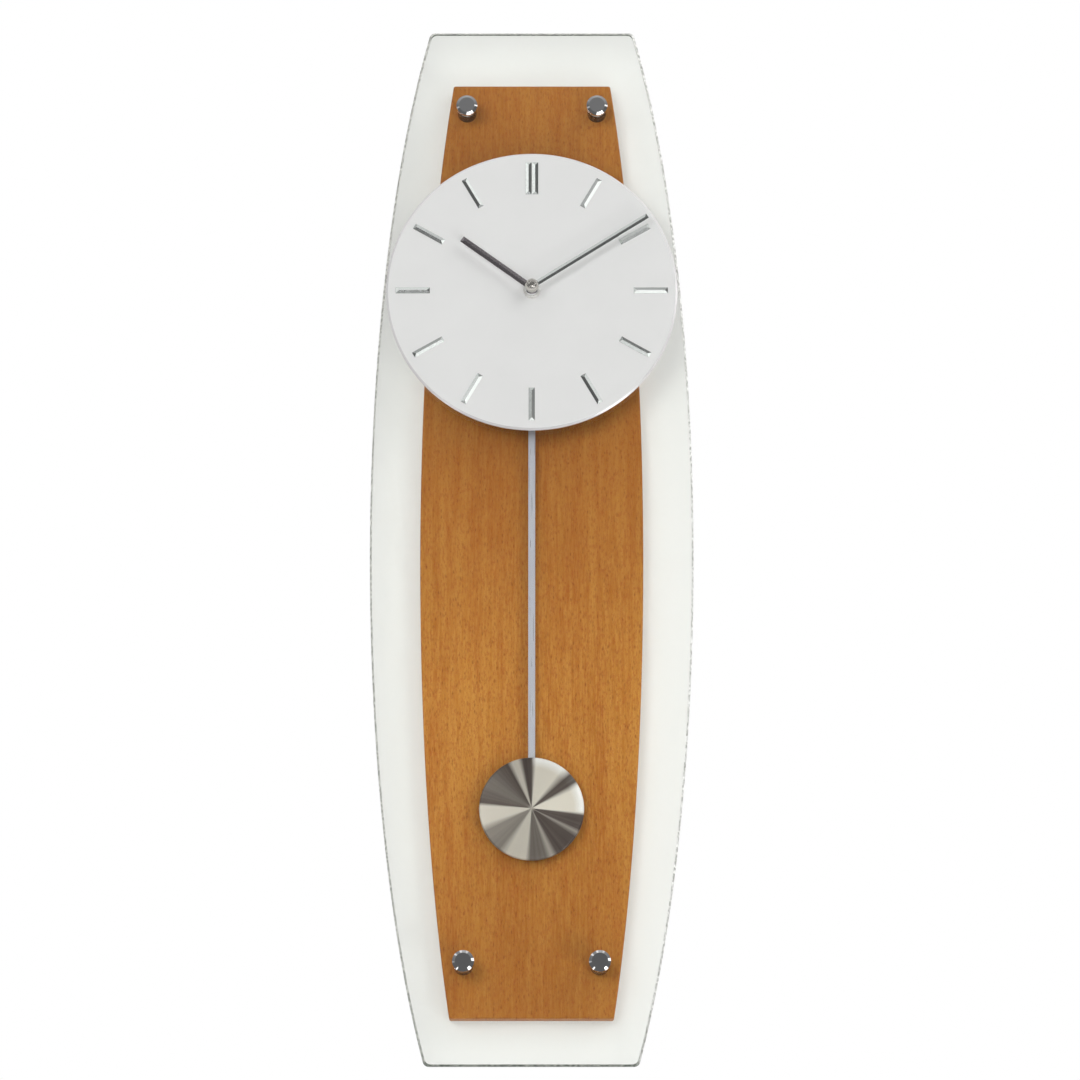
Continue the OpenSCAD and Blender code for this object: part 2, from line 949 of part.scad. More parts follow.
module antenna_saddles() {
    for (side = [-1, 1])
        difference() {
            translate([side * saddle_x - 1, lower_front, ferrite_z - 3.4])
                cube([2, ferrite_y - lower_front - 1, 6.8]);
            translate([0, ferrite_y, ferrite_z])
                cross_bar(ferrite_r + fixed_gap, -inner_half, inner_half);
        }
}

// Ribs under the battery, shaped to its round
module battery_cradle() {
    for (side = [-1, 1])
        difference() {
            translate([side * 15 - 1, case_floor, battery_bay_bottom])
                cube([2, 4, battery_bay_h]);
            translate([0, battery_y(), battery_z])
                cross_bar(battery_d / 2 + 0.1, -inner_half, inner_half);
        }
}

function battery_y() = case_floor + 1.6 + battery_d / 2;

module movement_cover() {
    half = inner_half - 0.2;
    color("gray")
        at_shaft() {
            difference() {
                slab(cover_front, case_back)
                    span_rect(-half, half, lower_bottom + 0.2, train_top - 0.2);
                for (x = [set_button_x, receive_button_x, reset_button_x])
                    at([x, button_z])
                        post(button_r + running_gap, cover_front - past, case_back + past);
                for (place = cover_posts)
                    at(place) {
                        post(small_screw_r + 0.1, cover_front - past, case_back + past);
                        post(small_head_r + 0.1, case_back - small_head_t - 0.1,
                            case_back + past);
                    }
            }
            // Bearing boss for the rotor
            at(rotor_place)
                difference() {
                    post(2, cover_front - 2.8, cover_front);
                    post(pivot_bore_r, cover_front - 2.8 - past, cover_front - 1.2);
                }
        }
}

// One small screw, its head standing behind the plane y = seat
module small_screw(place, seat) {
    at(place)
        difference() {
            union() {
                post(small_head_r, seat, seat + small_head_t);
                post(small_screw_r, seat - small_screw_len + 0.3, seat + 0.1);
            }
            slab(seat + small_head_t - 0.45, seat + small_head_t + past)
                cross_slot(2, 0.4);
        }
}

module movement_screws() {
    color("silver")
        at_shaft() {
            for (place = bridge_posts)
                small_screw(place, bridge_back);
            for (place = board_posts)
                small_screw(place, board_back);
            for (place = cover_posts)
                small_screw(place, case_back - small_head_t);
        }
}

// Plate that carries the back pivots of the centre and third arbors
module gear_bridge() {
    color("khaki")
        at_shaft()
            difference() {
                union() {
                    slab(bridge_front, bridge_back)
                        difference() {
                            translate([4, 0.5])
                                round_rect(44, 22.6, 2.5);
                            translate([-10.5, 0])
                                circle(5);
                        }
                    for (place = [[0, 0], third_place])
                        at(place)
                            post(bridge_boss_r, bridge_back - 0.1, bridge_back + 0.5);
                }
                post(stem_r + running_gap, bridge_front - past, bridge_back + past);
                at(third_place)
                    post(pivot_bore_r, bridge_front - past, bridge_back + past);
                at(rotor_place)
                    post(1.9, bridge_front - past, bridge_back + past);
                for (place = bridge_posts)
                    at(place)
                        post(small_screw_r + 0.1, bridge_front - past, bridge_back + past);
            }
}

module minute_wheel_post() {
    color("silver")
        at_shaft()
            at(minute_wheel_place)
                post(0.5, case_floor - pivot_depth, minute_wheel_back + 0.3);
}

module pivot_pin() {
    color("silver")
        at_shaft()
            at([0, -pivot_drop])
                post(pin_r, case_floor - pivot_depth + 0.1, lower_front - 0.5);
}

// Motor: a closed iron path through the rotor hole and the coil's core
module stator() {
    rotor_x = rotor_place[0];
    rotor_z = rotor_place[1];
    core_bottom = core_z - core_w / 2;
    color("lightslategray")
        at_shaft()
            slab(stator_front, stator_front + stator_t)
                difference() {
                    union() {
                        translate(rotor_place)
                            circle(stator_ring_r);
                        span_rect(stator_left, rotor_x,
                            rotor_z - stator_bar_w / 2, rotor_z + stator_bar_w / 2);
                        span_rect(stator_left, stator_left + stator_leg_w,
                            core_bottom, rotor_z + stator_bar_w / 2);
                        span_rect(stator_left, rotor_x + stator_bar_w / 2,
                            core_bottom, core_z + core_w / 2);
                        span_rect(rotor_x - stator_bar_w / 2, rotor_x + stator_bar_w / 2,
                            core_bottom, rotor_z);
                    }
                    translate(rotor_place)
                        circle(stator_hole_r);
                }
}

// Copper winding between two cheeks, round the core
module motor_coil() {
    cheek = 1;
    color("chocolate")
        at_shaft()
            difference() {
                translate([0, stator_front + stator_t / 2, core_z]) {
                    cross_bar(motor_coil_r - 0.5, motor_coil_from, motor_coil_to);
                    cross_bar(motor_coil_r, motor_coil_from, motor_coil_from + cheek);
                    cross_bar(motor_coil_r, motor_coil_to - cheek, motor_coil_to);
                }
                slab(stator_front - fixed_gap, stator_front + stator_t + fixed_gap)
                    span_rect(stator_left, inner_half, core_z - core_w / 2 - fixed_gap,
                        core_z + core_w / 2 + fixed_gap);
            }
}

module circuit_board() {
    color("darkgreen")
        at_shaft()
            difference() {
                slab(board_front, board_back)
                    span_rect(board_left, board_right, board_bottom, board_top);
                for (place = board_posts)
                    at(place)
                        post(small_screw_r + 0.1, board_front - past, board_back + past);
            }
}

// Switches under the buttons, the receiver chip under its blob, the crystal's can and a row
// of small chips
module circuit_parts() {
    color("black")
        at_shaft() {
            for (x = [set_button_x, receive_button_x, reset_button_x])
                at([x, button_z]) {
                    slab(board_back, board_back + switch_h)
                        square(switch_w, center = true);
                    post(0.9, board_back + switch_h - 0.1, board_back + switch_h + 0.15);
                }
            at([-13, -5])
                cone(4, 3, board_front - 1.2, board_front);
            translate([0, board_back + 1.05, -6])
                cross_bar(1, -22, -15);
            for (x = [-20:2.5:-12.5])
                at([x, -11])
                    slab(board_back, board_back + 0.6)
                        square([0.9, 1.8], center = true);
        }
}

module ferrite_rod() {
    color("darkslategray")
        at_shaft()
            translate([0, ferrite_y, ferrite_z])
                cross_bar(ferrite_r, -ferrite_half, ferrite_half);
}

module antenna_winding() {
    color("chocolate")
        at_shaft()
            translate([0, ferrite_y, ferrite_z])
                difference() {
                    cross_bar(winding_r, -winding_half, winding_half);
                    cross_bar(ferrite_r + fixed_gap, -winding_half - past,
                        winding_half + past);
                }
}

// Coil on the back of the lever bay, which pulls the pendulum's magnet
module drive_coil() {
    cheek = 0.5;
    coil_front = lower_front;
    coil_back = lower_front + drive_coil_t;
    color("chocolate")
        at_shaft()
            at([0, drive_z])
                turned([
                    [drive_bore_r, coil_front],
                    [drive_coil_r, coil_front],
                    [drive_coil_r, coil_front + cheek],
                    [drive_coil_r - 0.6, coil_front + cheek],
                    [drive_coil_r - 0.6, coil_back - cheek],
                    [drive_coil_r, coil_back - cheek],
                    [drive_coil_r, coil_back],
                    [drive_bore_r, coil_back]
                ]);
}

// Cell with rolled shoulders, the disc of its flat end and its nub
module battery() {
    half = battery_len / 2;
    r = battery_d / 2;
    shoulder = half - nub_t;
    color("slategray")
        at_shaft()
            translate([0, battery_y(), battery_z])
                turned_across([
                    [0, -half],
                    [r - 1.6, -half],
                    [r - 1.6, -half + cell_disc_t],
                    [r - cell_roll, -half + cell_disc_t],
                    [r, -half + cell_disc_t + cell_roll],
                    [r, shoulder - cell_roll],
                    [r - cell_roll, shoulder],
                    [nub_r, shoulder],
                    [nub_r, half - 0.3],
                    [nub_r - 0.3, half],
                    [0, half]
                ]);
}

// Sprung strips at both ends of the battery: each leans on the wall and on the cell
module battery_contacts() {
    half = battery_len / 2;
    color("silver")
        at_shaft()
            for (side = [-1, 1])
                translate([0, battery_y(), battery_z - contact_w / 2])
                    linear_extrude(contact_w)
                        polygon(contact_points(side, half));
}

// Bent strip seen from above: wall leg, round the foot and back to the cell
function contact_points(side, half) =
    let (
        wall_x = inner_half - 0.1,
        rise = 5,
        foot = -5.5
    )
    [
        [side * wall_x, rise],
        [side * wall_x, foot],
        [side * (half + 0.2), foot],
        [side * half, -1],
        [side * half, 1],
        [side * (half + 0.5), 3],
        [side * (half + 0.5 + contact_t), 3],
        [side * (half + contact_t), 1],
        [side * (half + contact_t), -1],
        [side * (half + 0.2 + contact_t), foot + contact_t],
        [side * (wall_x - contact_t), foot + contact_t],
        [side * (wall_x - contact_t), rise]
    ];

// Hands and train

module minute_arbor() {
    color("silver")
        at_shaft()
            turned([
                [0, arbor_tip],
                [arbor_r - 0.1, arbor_tip],
                [arbor_r - 0.1, minute_front],
                [arbor_r, minute_front],
                [arbor_r, bridge_front - 0.3],
                [stem_r, bridge_front - 0.3],
                [stem_r, bridge_back - 0.1],
                [0, bridge_back - 0.1]
            ]);
}

module centre_wheel() {
    color("gold")
        at_shaft()
            difference() {
                union() {
                    gear(centre_teeth, centre_size, 0, centre_wheel_front, centre_wheel_back);
                    post(centre_hub_r, centre_wheel_front - 0.5, centre_wheel_back + 0.5);
                }
                crossings(5, centre_hub_r, centre_teeth, centre_size,
                    centre_wheel_front, centre_wheel_back);
                post(arbor_r + fixed_gap, centre_wheel_front - past,
                    centre_wheel_back + past);
            }
}

module cannon_pinion() {
    color("gold")
        at_shaft()
            difference() {
                gear(cannon_teeth, motion_size, 180, cannon_front, cannon_back);
                post(arbor_r + fixed_gap, cannon_front - past, cannon_back + past);
            }
}

// A ridged hand with a round boss that clamps on its shaft
module hand(len, w, edge_share, back, boss_r, shaft_r) {
    difference() {
        union() {
            ridged_bar(w, len, hand_t, edge_share, back, 0);
            post(boss_r, back - hand_t, back);
        }
        post(shaft_r, back - hand_t - past, back + past);
    }
}

module minute_hand() {
    color("silver")
        at_shaft()
            clockwise(minute_angle)
                hand(minute_len, minute_w, flat_edge, minute_back, minute_boss_r,
                    arbor_r + fixed_gap);
}

module hour_hand() {
    color("silver")
        at_shaft()
            clockwise(hour_angle)
                hand(hour_len, hour_w, steep_edge, hour_back, hour_boss_r,
                    pipe_r + fixed_gap);
}

// Bullet-shaped nut on the end of the minute arbor
module cap_nut() {
    r = cap_nut_d / 2;
    straight = 1.4;
    dome = cap_nut_h - straight;
    color("silver")
        at_shaft()
            turned(concat(
                [[arbor_r - 0.1 + fixed_gap, minute_front], [r - 0.3, minute_front],
                    [r, minute_front - 0.3]],
                [for (a = [0:10:90])
                    [r * cos(a), minute_front - straight - dome * sin(a)]],
                [[0, arbor_tip - 0.3], [arbor_r - 0.1 + fixed_gap, arbor_tip - 0.3]]
            ));
}

// Hour wheel with the pipe that runs through the bush
module hour_wheel() {
    color("ivory")
        at_shaft()
            difference() {
                union() {
                    gear(hour_wheel_teeth, hour_size, meshed(0, hour_wheel_teeth),
                        hour_wheel_front, hour_wheel_back);
                    post(pipe_r, hour_front - 0.3, hour_wheel_front + 0.1);
                }
                post(pipe_bore_r, hour_front - past, hour_wheel_back + past);
            }
}

module minute_wheel() {
    color("ivory")
        at_shaft()
            at(minute_wheel_place)
                difference() {
                    union() {
                        gear(minute_wheel_teeth, motion_size,
                            meshed(180, minute_wheel_teeth),
                            minute_wheel_front, minute_wheel_back);
                        gear(minute_pinion_teeth, hour_size, 0,
                            minute_pinion_front, minute_wheel_front);
                    }
                    post(0.5 + running_gap, minute_pinion_front - past,
                        minute_wheel_back + past);
                }
}

module third_wheel() {
    color("ivory")
        at_shaft()
            at(third_place) {
                difference() {
                    gear(third_teeth, third_size, rotor_bearing,
                        third_wheel_front, third_wheel_back);
                    crossings(4, tip_radius(third_pinion_teeth, centre_size),
                        third_teeth, third_size, third_wheel_front, third_wheel_back);
                }
                gear(third_pinion_teeth, centre_size, meshed(0, third_pinion_teeth),
                    third_pinion_front, third_pinion_back);
                post(stem_r, case_floor + 0.2, bridge_front - 0.2);
                post(pivot_r, case_floor - pivot_depth + 0.1, bridge_back - 0.2);
            }
}

module rotor() {
    color("ivory")
        at_shaft()
            at(rotor_place) {
                gear(rotor_teeth, third_size, meshed(rotor_bearing, rotor_teeth),
                    rotor_pinion_front, rotor_pinion_back);
                post(0.5, case_floor + 0.2, cover_front - 3);
                post(pivot_r, case_floor - pivot_depth + 0.1, cover_front - 1.4);
            }
}

module rotor_magnet() {
    color("dimgray")
        at_shaft()
            at(rotor_place)
                turned([
                    [0.5 + fixed_gap, magnet_front],
                    [magnet_r, magnet_front],
                    [magnet_r, magnet_back],
                    [0.5 + fixed_gap, magnet_back]
                ]);
}

// Pendulum

module pendulum_lever() {
    pivot = [0, -pivot_drop];
    color("ivory")
        at_shaft()
            difference() {
                union() {
                    slab(lever_front, lever_back) {
                        translate(pivot)
                            circle(lever_top_half);
                        polygon([
                            [-lever_top_half, -pivot_drop],
                            [lever_top_half, -pivot_drop],
                            [lever_foot_half, lever_foot_z],
                            [-lever_foot_half, lever_foot_z]
                        ]);
                        translate([0, lever_foot_z])
                            circle(lever_foot_half);
                    }
                    at(pivot)
                        post(lever_boss_r, case_floor + lever_side_gap,
                            bay_back - lever_side_gap);
                    at([0, peg_z]) {
                        post(peg_r, lever_back - 0.1, rod_back + 0.3);
                        post(peg_lip_r, rod_back + 0.2, rod_back + 0.2 + peg_lip_t);
                    }
                }
                at(pivot)
                    post(pin_r + running_gap, case_floor, bay_back);
            }
}

module drive_magnet() {
    color("dimgray")
        at_shaft()
            at([0, drive_z])
                post(drive_magnet_r, lever_back, lever_back + drive_magnet_t);
}

// Flat rod, whose head hooks onto the lever's peg
module pendulum_rod() {
    color("lightgray")
        at_shaft()
            difference() {
                slab(rod_front, rod_back) {
                    translate([0, peg_z - rod_head_h / 2 + 3])
                        round_rect(rod_head_w, rod_head_h, 2);
                    span_rect(-rod_w / 2, rod_w / 2, rod_end_z, peg_z);
                }
                at([0, peg_z])
                    post(peg_r + 0.1, rod_front - past, rod_back + past);
                at([0, peg_z - 4.5])
                    post(peg_lip_r + 0.3, rod_front - past, rod_back + past);
                slab(rod_front - past, rod_back + past)
                    span_rect(-peg_r - 0.1, peg_r + 0.1, peg_z - 4.5, peg_z);
            }
}

// Spun metal cover of the bob: a shallow dome with a rounded rim
module bob_cover() {
    r = bob_d / 2;
    shell = bob_shell;
    color("gainsboro")
        at_shaft()
            at([0, -bob_drop])
                turned(concat(
                    bob_face(r, bob_front, bob_rim),
                    [[r, rod_front - 0.4], [r - shell, rod_front - 0.4]],
                    reversed(bob_face(r - shell, bob_front + shell, bob_rim - shell / 2))
                ));
}

// Points from the middle of the bob's face, over the dome, round the rim
function bob_face(r, front, rim) = concat(
    [for (i = [0:4])
        let (x = (r - rim) * i / 4)
        [x, front + bob_dome * pow(x / (r - rim), 2)]],
    [for (a = [75:-15:0])
        [r - rim + rim * cos(a), front + bob_dome + rim * (1 - sin(a))]]
);

module bob_weight() {
    r = bob_d / 2 - bob_shell - 0.1;
    face = bob_front + bob_shell + bob_dome + bob_rim;
    color("gray")
        at_shaft()
            at([0, -bob_drop])
                turned([
                    [0, rod_front],
                    [r, rod_front],
                    [r, face],
                    [r - 2, face - 0.4],
                    [0, face - 0.4]
                ]);
}

// Spring clip that holds the bob on the rod: two feet on the weight, a bridge over the rod
module bob_clip() {
    channel_half = rod_w / 2 + 0.05;
    color("silver")
        at_shaft()
            at([0, -bob_drop])
                translate([0, 0, -clip_h / 2])
                    linear_extrude(clip_h)
                        polygon([
                            [-clip_w / 2, rod_front],
                            [-channel_half, rod_front],
                            [-channel_half, rod_back + 0.05],
                            [channel_half, rod_back + 0.05],
                            [channel_half, rod_front],
                            [clip_w / 2, rod_front],
                            [clip_w / 2, rod_front + clip_t],
                            [channel_half + clip_t, rod_front + clip_t],
                            [channel_half + clip_t, rod_back + clip_t],
                            [-channel_half - clip_t, rod_back + clip_t],
                            [-channel_half - clip_t, rod_front + clip_t],
                            [-clip_w / 2, rod_front + clip_t]
                        ]);
}

// A push button, kept in by the flange behind the cover
module push_button(x) {
    flange_back = cover_front - 0.3;
    at_shaft()
        at([x, button_z]) {
            post(button_r, board_back + switch_h + 0.15 + button_travel,
                case_back + button_proud);
            post(button_flange_r, flange_back - 0.7, flange_back);
        }
}

module set_button() {
    color("whitesmoke")
        push_button(set_button_x);
}

module receive_button() {
    color("whitesmoke")
        push_button(receive_button_x);
}

module reset_button() {
    color("whitesmoke")
        push_button(reset_button_x);
}

glass_plate();
wood_panel();
standoff_barrels();
standoff_caps();
glass_grommets();
standoff_screws();
hanger_plate();
hanger_screws();
wall_pads();
dial();
hour_markers();
dial_spacer();
dial_nut();
glass_gasket();
threaded_bush();
movement_case();
movement_cover();
movement_screws();
gear_bridge();
minute_wheel_post();
pivot_pin();
stator();
motor_coil();
circuit_board();
circuit_parts();
ferrite_rod();
antenna_winding();
drive_coil();
battery();
battery_contacts();
minute_arbor();
centre_wheel();
cannon_pinion();
minute_hand();
cap_nut();
hour_wheel();
hour_hand();
minute_wheel();
third_wheel();
rotor();
rotor_magnet();
pendulum_lever();
drive_magnet();
pendulum_rod();
bob_cover();
bob_weight();
bob_clip();
set_button();
receive_button();
reset_button();
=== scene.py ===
"""Looks of the radio-controlled pendulum clock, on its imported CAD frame."""
import math

import bpy
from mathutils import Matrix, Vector, noise


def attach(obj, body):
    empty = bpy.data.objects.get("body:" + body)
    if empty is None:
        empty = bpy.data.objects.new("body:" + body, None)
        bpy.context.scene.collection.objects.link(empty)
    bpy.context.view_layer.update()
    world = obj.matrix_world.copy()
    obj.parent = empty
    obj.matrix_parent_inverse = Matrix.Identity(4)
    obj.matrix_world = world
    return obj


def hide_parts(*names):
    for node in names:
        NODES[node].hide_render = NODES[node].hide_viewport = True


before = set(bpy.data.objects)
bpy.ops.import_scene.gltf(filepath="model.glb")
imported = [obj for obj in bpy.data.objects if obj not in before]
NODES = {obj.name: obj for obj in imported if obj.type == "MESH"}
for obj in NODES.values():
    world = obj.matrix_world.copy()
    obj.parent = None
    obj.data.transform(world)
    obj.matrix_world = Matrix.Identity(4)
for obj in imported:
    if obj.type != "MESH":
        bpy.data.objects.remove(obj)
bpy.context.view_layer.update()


# Camera: low in front of the clock, looking up at it
CAMERA_PLACE = (0.0054, -3.0265, -1.1137)
CAMERA_RISE = 15.81
CAMERA_LENS = 159.45
SENSOR = 36.0

# Where things are, in metres in the row frame
SHAFT_Z = -0.094
DRIVE_COIL_Z = -0.13
BOB_Z = -0.442
WALL_Y = 0.0004
WALL_TOP = 4
FLOOR_Z = -2.6
FLOOR_REACH = 1.1
STAGE_HALF_WIDTH = 6

# Fine patterns
WIRE_PITCH = 0.00022
BRUSHED_RINGS_PER_METRE = 9000
TURNED_RINGS_PER_METRE = 14000


def linear(red, green, blue):
    """A colour given as screen values from 0 to 255, as the light it stands for."""
    def one(value):
        value /= 255
        return value / 12.92 if value <= 0.04045 else ((value + 0.055) / 1.055) ** 2.4
    return (one(red), one(green), one(blue), 1.0)


# Nodes

class Maker:
    """Adds nodes to a tree. Each input is a value, or the socket that feeds it."""

    def __init__(self, tree):
        self.tree = tree
        self.tree.nodes.clear()

    def add(self, kind, inputs=None, **settings):
        made = self.tree.nodes.new("ShaderNode" + kind)
        for key, value in settings.items():
            setattr(made, key, value)
        for key, value in (inputs or {}).items():
            if isinstance(value, bpy.types.NodeSocket):
                self.tree.links.new(value, made.inputs[key])
            else:
                made.inputs[key].default_value = value
        return made

    def maths(self, operation, first, second=0.0, third=0.0):
        node = self.add("Math", {0: first, 1: second, 2: third}, operation=operation)
        return node.outputs[0]

    def blend(self, share, first, second, way="MIX"):
        node = self.add("Mix", {0: share, 6: first, 7: second}, data_type="RGBA",
                        blend_type=way)
        return node.outputs[2]

    def spread(self, value, low, high, to_low=0.0, to_high=1.0):
        """Takes a value from one range to another, clamped."""
        node = self.add("MapRange", {0: value, 1: low, 2: high, 3: to_low, 4: to_high})
        return node.outputs[0]

    def place(self, scale=(1, 1, 1), shift=(0, 0, 0)):
        """The point in the row frame, in metres, stretched."""
        here = self.add("TexCoord").outputs["Object"]
        moved = self.add("Mapping", {"Vector": here, "Scale": scale, "Location": shift})
        return moved.outputs[0]

    def noise(self, vector, scale, detail=2.0, rough=0.5, twist=0.0):
        node = self.add("TexNoise", {"Vector": vector, "Scale": scale, "Detail": detail,
                                     "Roughness": rough, "Distortion": twist})
        return node.outputs[0]

    def noise_along(self, value, scale, detail=2.0, rough=0.5):
        """Noise that changes with one value alone."""
        line = self.add("CombineXYZ", {0: value}).outputs[0]
        return self.noise(line, scale, detail, rough)

    def bump(self, height, strength, distance):
        """A fine relief, with its depth in metres."""
        node = self.add("Bump", {"Height": height, "Strength": strength,
                                 "Distance": distance})
        return node.outputs[0]

    def part(self, vector, axis):
        """One coordinate of a vector: 0, 1 or 2."""
        return self.add("SeparateXYZ", {0: vector}).outputs[axis]

    def faces(self, axis):
        """How far the mesh itself faces along an axis, from -1 to 1."""
        return self.part(self.add("NewGeometry").outputs["True Normal"], axis)

    def radius(self, height):
        """The distance from a line that runs from front to back at a height."""
        flat = self.place((1, 0, 1), (0, 0, -height))
        return self.add("VectorMath", {0: flat}, operation="LENGTH").outputs["Value"]

    def end(self, surface):
        self.add("OutputMaterial", {"Surface": surface})

    def skin(self, inputs):
        """Ends a material that is one plain surface."""
        self.end(self.add("BsdfPrincipled", inputs).outputs[0])


def new_material(name):
    mat = bpy.data.materials.new(name)
    mat.use_nodes = True
    return mat, Maker(mat.node_tree)


def dress(mat, *names):
    """Gives CAD nodes a material."""
    for name in names:
        for slot in NODES[name].material_slots:
            slot.material = mat


# Materials

def facing(make):
    """How squarely the surface faces the front or the back, from 0 to 1."""
    return make.maths("ABSOLUTE", make.faces(1))


def clear_glass():
    """Float glass: clear faces, and ground edges that look grey-green and dotted. The
    bottom edge is darker than the sides, and the right side is the palest."""
    mat, make = new_material("clear_float_glass")
    face = make.spread(facing(make), 0.93, 0.97)
    pane = make.add("BsdfPrincipled", {
        "Base Color": (0.985, 0.994, 0.984, 1), "Roughness": 0.0, "IOR": 1.5,
        "Transmission Weight": 1.0})
    dots = make.noise(make.place(), 520, 3, 0.6)
    grain = make.noise(make.place(), 2400, 2)
    upright = make.spread(make.faces(2), -0.35, -0.1)
    dark = make.blend(upright, (0.10, 0.12, 0.10, 1), (0.40, 0.41, 0.38, 1))
    pale = make.blend(make.spread(make.faces(0), 0.1, 0.4),
                      (0.86, 0.86, 0.81, 1), (0.99, 0.99, 0.97, 1))
    pale = make.blend(upright, (0.36, 0.38, 0.34, 1), pale)
    edge = make.add("BsdfPrincipled", {
        "Base Color": make.blend(make.spread(dots, 0.36, 0.66), dark, pale),
        "Roughness": make.spread(grain, 0.3, 0.7, 0.3, 0.5), "IOR": 1.5,
        "Normal": make.bump(grain, 0.3, 0.00005)})
    surface = make.add("MixShader", {0: face, 1: edge.outputs[0], 2: pane.outputs[0]})
    lets_light = make.add("BsdfTransparent", {"Color": (0.965, 0.975, 0.962, 1)})
    shadow = make.add("LightPath").outputs["Is Shadow Ray"]
    both = make.add("MixShader", {0: shadow, 1: surface.outputs[0],
                                  2: lets_light.outputs[0]})
    make.end(both.outputs[0])
    return mat


def upright_flecks(make, width, length, seed):
    """Short upright marks, each with its own strength, from 0 to 1."""
    cells = make.add("TexVoronoi", {
        "Vector": make.place((1 / width, 40, 1 / length), (seed, 0, seed)), "Scale": 1.0,
        "Randomness": 1.0})
    strength = make.add("SeparateColor", {0: cells.outputs["Color"]}).outputs[0]
    mark = make.spread(cells.outputs["Distance"], 0.12, 0.42, 1.0, 0.0)
    return make.maths("MULTIPLY", mark, make.spread(strength, 0.3, 1.0))


def beech():
    """Satin-lacquered beech veneer: upright grain with short dark flecks, deeper in colour
    in its upper part and at the bottom. Its back is plain fibreboard."""
    mat, make = new_material("beech_veneer")
    drift = make.noise(make.place((1, 1, 0.3)), 16, 2)
    streaks = make.noise(make.place((1, 1, 0.035)), 150, 3, 0.6, 0.3)
    pale_streaks = make.noise(make.place((1, 1, 0.05), (0.31, 0, 0)), 210, 3, 0.6, 0.3)
    fibres = make.noise(make.place((1, 1, 0.08)), 700, 3, 0.7)
    speckle = make.noise(make.place((1, 1, 0.4)), 1000, 2, 0.6)
    flecks = upright_flecks(make, 0.0016, 0.0044, 0.0)
    small_flecks = upright_flecks(make, 0.0010, 0.0034, 3.7)
    up = make.part(make.place(), 2)
    upper = make.spread(up, -0.36, -0.2, 0.05, 0.5)
    top = make.spread(up, -0.05, 0.05, 0.0, 0.06)
    lower = make.spread(up, -0.57, -0.41, 0.37, 0.0)
    deeper = make.maths("ADD", make.maths("SUBTRACT", upper, top), lower)
    veneer = make.blend(make.spread(drift, 0.32, 0.68), linear(167, 104, 26),
                        linear(186, 123, 43))
    layers = [
        (make.spread(streaks, 0.4, 0.68, 0.0, 0.6), linear(163, 88, 21)),
        (make.spread(pale_streaks, 0.45, 0.7, 0.0, 0.6), linear(201, 144, 63)),
        (make.spread(fibres, 0.4, 0.68, 0.0, 0.7), linear(199, 142, 63)),
        (make.spread(speckle, 0.5, 0.72, 0.0, 0.7), linear(160, 82, 28)),
        (make.maths("MULTIPLY", small_flecks, 0.55), linear(126, 64, 12)),
        (make.maths("MULTIPLY", flecks, 0.6), linear(114, 56, 10)),
        (deeper, linear(130, 68, 12)),
    ]
    for share, colour in layers:
        veneer = make.blend(share, veneer, colour)
    mottle = make.noise(make.place(), 1300, 3, 0.7)
    board = make.blend(mottle, linear(150, 117, 82), linear(181, 148, 110))
    rear = make.spread(make.faces(1), 0.9, 0.95)
    height = make.maths("SUBTRACT", make.maths("MULTIPLY", fibres, 0.4), flecks)
    make.skin({
        "Base Color": make.blend(rear, veneer, board),
        "Roughness": make.spread(streaks, 0.3, 0.7, 0.46, 0.58),
        "Specular IOR Level": 0.22,
        "Normal": make.bump(height, 0.25, 0.0001)})
    return mat


def blasted_silver():
    """The dial: fine blasted silver, with a bright turned bevel round the rim."""
    mat, make = new_material("blasted_silver")
    face = make.spread(facing(make), 0.96, 0.99)
    grain = make.noise(make.place(), 2600, 2)
    glint = make.noise(make.place(), 5200, 1)
    cloud = make.noise(make.place(), 30, 2)
    tone = make.blend(make.spread(cloud, 0.3, 0.7), (0.82, 0.823, 0.812, 1),
                      (0.84, 0.843, 0.832, 1))
    tone = make.blend(make.spread(glint, 0.6, 0.8, 0.0, 0.5), tone, (0.9, 0.9, 0.9, 1))
    make.skin({
        "Base Color": make.blend(face, (0.92, 0.90, 0.91, 1), tone),
        "Metallic": make.spread(face, 0.0, 1.0, 0.3, 0.08),
        "Roughness": make.spread(face, 0.0, 1.0, 0.22, 0.5),
        "Normal": make.bump(grain, 0.25, 0.00006)})
    return mat


def metal(name, colour, rough, fine=0.0, scale=1200, grain=(1, 1, 1), strength=0.1,
          metallic=1.0):
    """A metal with a little unevenness in its polish."""
    mat, make = new_material(name)
    haze = make.noise(make.place(grain), scale, 3)
    make.skin({
        "Base Color": colour,
        "Metallic": metallic,
        "Roughness": make.spread(haze, 0.3, 0.7, rough - fine, rough + fine),
        "Normal": make.bump(haze, strength, 0.00003)})
    return mat


# Light fans on the brushed bob: [from, to, strength, softness of each side], in degrees
# clockwise from the top
FANS = [
    [3, 42, 1.0, 3, 6], [62, 96, 1.0, 4, 2], [116, 121, 0.35, 2, 3], [153, 161, 0.42, 3, 3],
    [161, 184, 0.12, 5, 5], [184, 213, 0.8, 3, 5], [213, 248, 0.22, 6, 6],
    [248, 275, 0.7, 5, 2], [290, 318, 0.14, 12, 12], [335, 347, 0.68, 3, 3],
]


